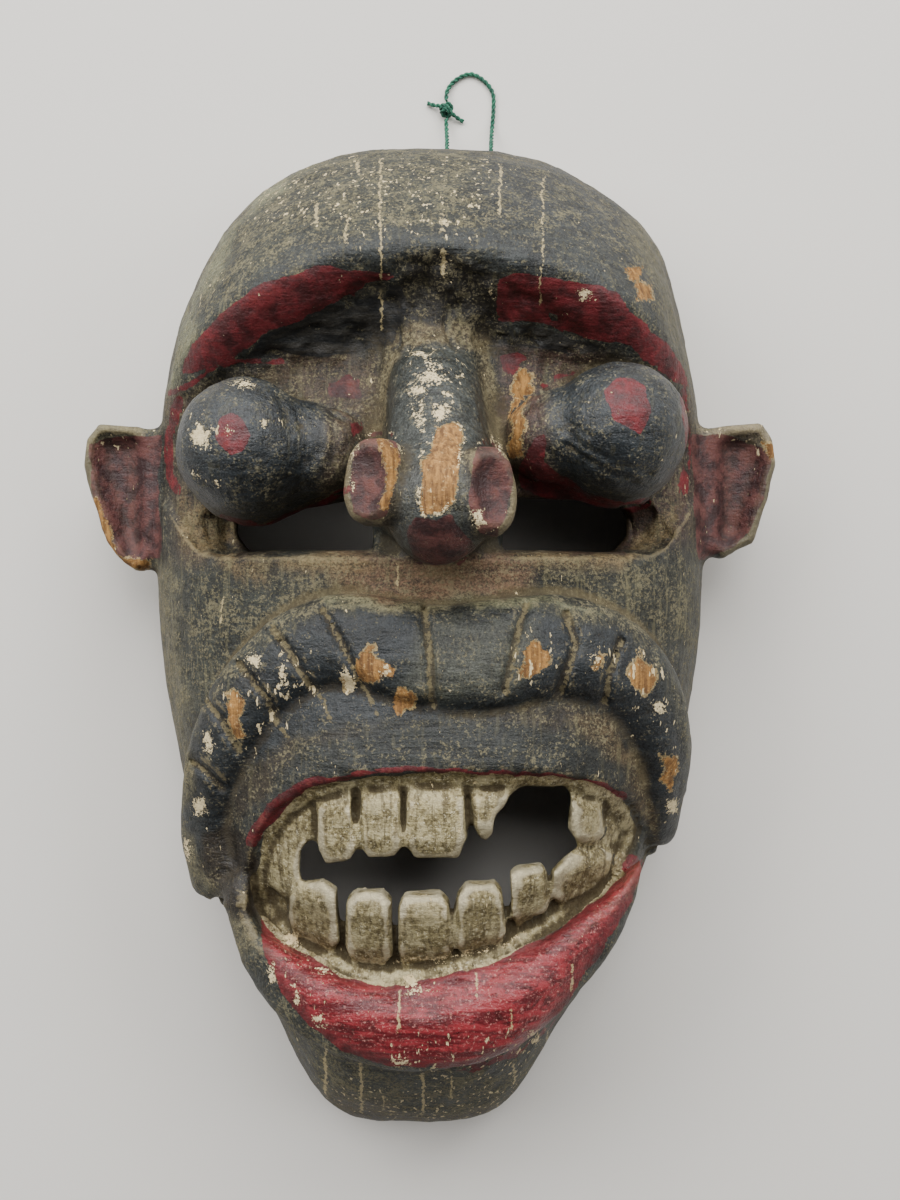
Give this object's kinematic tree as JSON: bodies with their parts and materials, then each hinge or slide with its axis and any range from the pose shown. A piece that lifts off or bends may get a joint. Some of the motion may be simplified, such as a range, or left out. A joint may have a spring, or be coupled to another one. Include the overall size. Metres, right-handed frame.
{
  "type": "carved wooden shaman mask",
  "caption": "Hollow carved wooden face mask with bulging eyes, dished ears, ridged moustache, open toothed mouth and a loop of twine to hang it by.",
  "frame": {"origin": "on the surface the mask lies on, midway between the ears and between crown and chin", "axes": "+Z out of the face, +Y towards the crown, +X towards the viewer's right when the face is looked at"},
  "size_m": [0.248, 0.3989, 0.134],
  "materials": {
    "painted_wood": "worn dark paint over carved wood",
    "twine": "matt green twisted twine"
  },
  "bodies": {
    "root": {"mask": "painted_wood", "hanging_cord": "twine", "cord_knot": "twine"}
  },
  "joints": []
}
